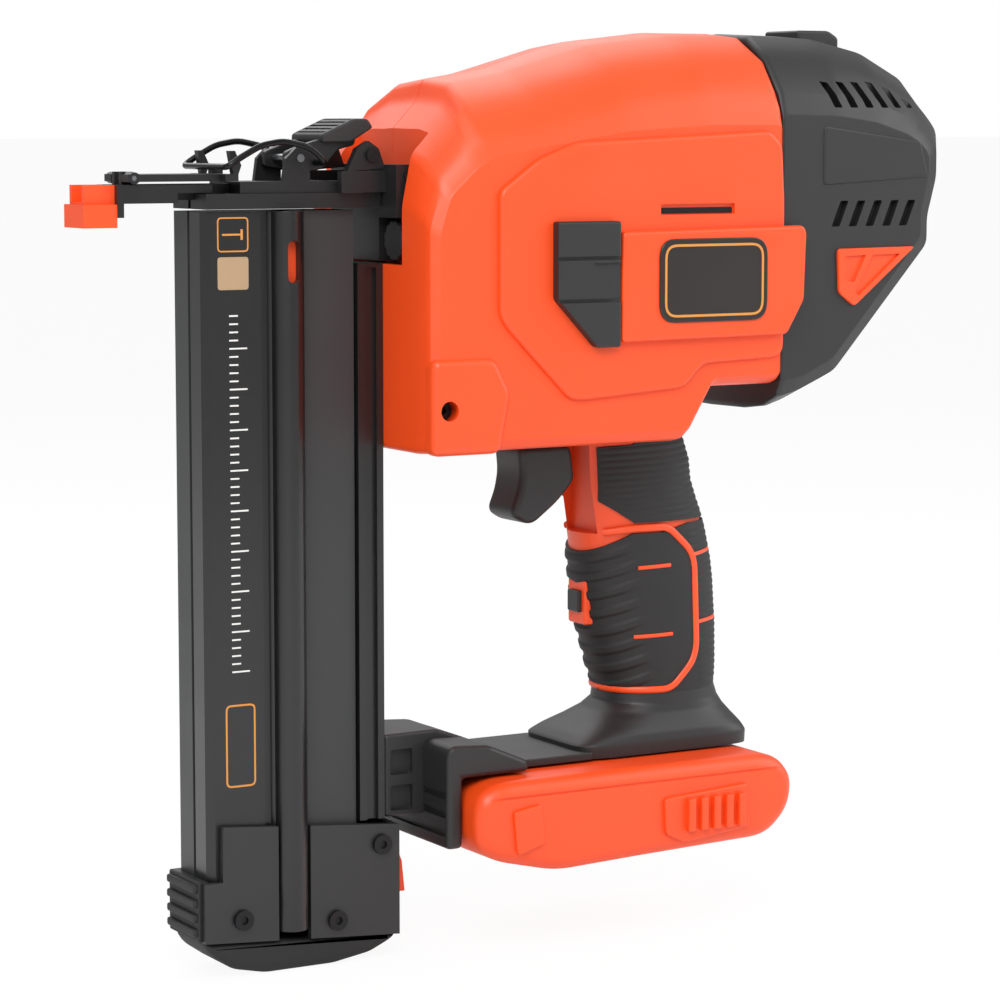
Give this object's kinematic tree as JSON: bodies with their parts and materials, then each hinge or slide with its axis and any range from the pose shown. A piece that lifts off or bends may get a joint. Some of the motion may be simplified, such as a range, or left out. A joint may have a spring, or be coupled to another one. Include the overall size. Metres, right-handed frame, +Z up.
{
  "type": "cordless brad nailer",
  "caption": "Battery powered brad nailer with a slide-down magazine, latched jam door, contact trip, flywheel driver and rearward sliding battery.",
  "frame": {"origin": "under the middle of the tool on the surface that the magazine foot stands on", "axes": "+Z up, nose towards -X, operator left side towards -Y"},
  "size_m": [0.301, 0.097, 0.2957],
  "materials": {
    "orange_abs": "moulded, satin",
    "black_abs": "moulded, fine texture",
    "rubber_grip": "overmoulded, matt",
    "black_anodised": "extruded, black anodised",
    "grey_anodised": "extruded, dark grey anodised",
    "painted_steel": "pressed, satin black paint",
    "phosphated_steel": "black phosphated",
    "zinc_steel": "ground or plated",
    "cast_aluminium": "cast",
    "motor_can": "painted",
    "circuit_board": "solder mask",
    "cell_wrap": "shrink wrap"
  },
  "bodies": {
    "tool": {"housing_left": "orange_abs", "housing_right": "orange_abs", "housing_screws": "zinc_steel", "rear_cap": "black_abs", "cap_trims": "orange_abs", "side_cover_left": "orange_abs", "side_cover_right": "orange_abs", "side_bumper_left": "black_abs", "side_bumper_right": "black_abs", "badge_plates": "black_abs", "lower_grip": "rubber_grip", "upper_grip": "rubber_grip", "trigger_switch": "black_abs", "battery_foot": "black_abs", "control_board": "circuit_board", "support_bracket": "black_abs", "magazine_track": "grey_anodised", "mounting_rail": "black_anodised", "nose_plate": "phosphated_steel", "nose_guide": "phosphated_steel", "door_hinge_pins": "zinc_steel", "latch_pin": "zinc_steel", "nose_frame": "phosphated_steel", "frame_pins": "zinc_steel", "drive_frame": "cast_aluminium", "guide_rods": "zinc_steel", "stroke_bumpers": "rubber_grip", "flywheel_bearings": "zinc_steel", "drive_motor": "motor_can", "pinch_pivot": "zinc_steel", "engage_solenoid": "motor_can", "motor_controller": "circuit_board"},
    "stall_release": {"stall_release_lever": "black_abs"},
    "trigger": {"trigger": "black_abs"},
    "lock_off": {"lock_off_slider": "orange_abs"},
    "battery": {"battery_case": "orange_abs", "battery_cells": "cell_wrap"},
    "battery_release": {"battery_button": "black_abs"},
    "cover": {"magazine_cover": "black_anodised", "magazine_shield": "painted_steel", "shield_screws": "zinc_steel", "magazine_foot": "rubber_grip", "pull_plate": "rubber_grip"},
    "follower": {"nail_follower": "orange_abs"},
    "magazine_catch": {"magazine_latch": "orange_abs"},
    "door": {"jam_door": "phosphated_steel"},
    "lever": {"latch_lever": "phosphated_steel"},
    "bail": {"latch_bail": "phosphated_steel"},
    "contact_trip": {"contact_arm": "phosphated_steel", "contact_tip": "orange_abs"},
    "depth_adjuster": {"depth_wheel": "black_abs"},
    "driver": {"driver_carriage": "cast_aluminium", "driver_blade": "zinc_steel"},
    "flywheel": {"flywheel": "zinc_steel", "flywheel_shaft": "zinc_steel"},
    "pinch_arm": {"pinch_arm": "zinc_steel"},
    "roller": {"pinch_roller": "zinc_steel"}
  },
  "joints": [
    {"name": "contact_trip_slide", "type": "slide", "parent": "tool", "child": "contact_trip", "axis": [1, 0, 0], "range_m": [0, 0.007], "stiffness_N_per_m": 400, "springref_m": -0.01},
    {"name": "latch_lever_hinge", "type": "hinge", "parent": "tool", "child": "lever", "pos_m": [-0.0802, 0, 0.2541], "axis": [0, -1, 0], "range_deg": [0, 90]},
    {"name": "bail_hinge", "type": "hinge", "parent": "lever", "child": "bail", "pos_m": [-0.074, 0, 0.2526], "axis": [0, -1, 0], "range_deg": [-135, 0]},
    {"name": "jam_door_hinge", "type": "hinge", "parent": "tool", "child": "door", "pos_m": [-0.1345, 0, 0.2483], "axis": [0, -1, 0], "range_deg": [0, 22.5]},
    {"name": "trigger_hinge", "type": "hinge", "parent": "tool", "child": "trigger", "pos_m": [0.015, 0, 0.1585], "axis": [0, -1, 0], "range_deg": [0, 11], "stiffness_Nm_per_rad": 0.6, "springref_deg": -8.59},
    {"name": "lock_off_slide", "type": "slide", "parent": "tool", "child": "lock_off", "axis": [0, 0, -1], "range_m": [0, 0.008]},
    {"name": "stall_release_hinge", "type": "hinge", "parent": "tool", "child": "stall_release", "pos_m": [0.121, 0, 0.2915], "axis": [0, 1, 0], "range_deg": [0, 30], "stiffness_Nm_per_rad": 0.2, "springref_deg": -11.46},
    {"name": "battery_slide", "type": "slide", "parent": "tool", "child": "battery", "axis": [1, 0, 0], "range_m": [0, 0.11]},
    {"name": "battery_release_press", "type": "slide", "parent": "battery", "child": "battery_release", "axis": [-1, 0, 0], "range_m": [0, 0.003], "stiffness_N_per_m": 500, "springref_m": -0.004},
    {"name": "magazine_cover_slide", "type": "slide", "parent": "tool", "child": "cover", "axis": [0, 0, -1], "range_m": [0, 0.13]},
    {"name": "follower_slide", "type": "slide", "parent": "cover", "child": "follower", "axis": [0, 0, -1], "range_m": [0, 0.165], "stiffness_N_per_m": 20, "springref_m": -0.1},
    {"name": "magazine_catch_hinge", "type": "hinge", "parent": "cover", "child": "magazine_catch", "pos_m": [-0.0478, 0, 0.0362], "axis": [0, 1, 0], "range_deg": [0, 12], "stiffness_Nm_per_rad": 0.1, "springref_deg": -11.46},
    {"name": "depth_wheel_turn", "type": "hinge", "parent": "tool", "child": "depth_adjuster", "pos_m": [-0.0475, -0.0165, 0.2285], "axis": [1, 0, 0], "range_deg": [-180, 180]},
    {"name": "driver_slide", "type": "slide", "parent": "tool", "child": "driver", "axis": [-1, 0, 0], "range_m": [0, 0.092]},
    {"name": "flywheel_spin", "type": "hinge", "parent": "tool", "child": "flywheel", "pos_m": [0.003, 0, 0.215], "axis": [0, 1, 0], "continuous": true},
    {"name": "pinch_arm_hinge", "type": "hinge", "parent": "tool", "child": "pinch_arm", "pos_m": [0.036, 0, 0.257], "axis": [0, -1, 0], "range_deg": [0, 4], "stiffness_Nm_per_rad": 1, "springref_deg": -5.73},
    {"name": "roller_spin", "type": "hinge", "parent": "pinch_arm", "child": "roller", "pos_m": [0.003, 0, 0.258], "axis": [0, 1, 0], "continuous": true}
  ],
  "couplings": [
    {"joint": "bail_hinge", "follows": "latch_lever_hinge", "ratio": -1.5},
    {"joint": "jam_door_hinge", "follows": "latch_lever_hinge", "ratio": 0.25}
  ]
}
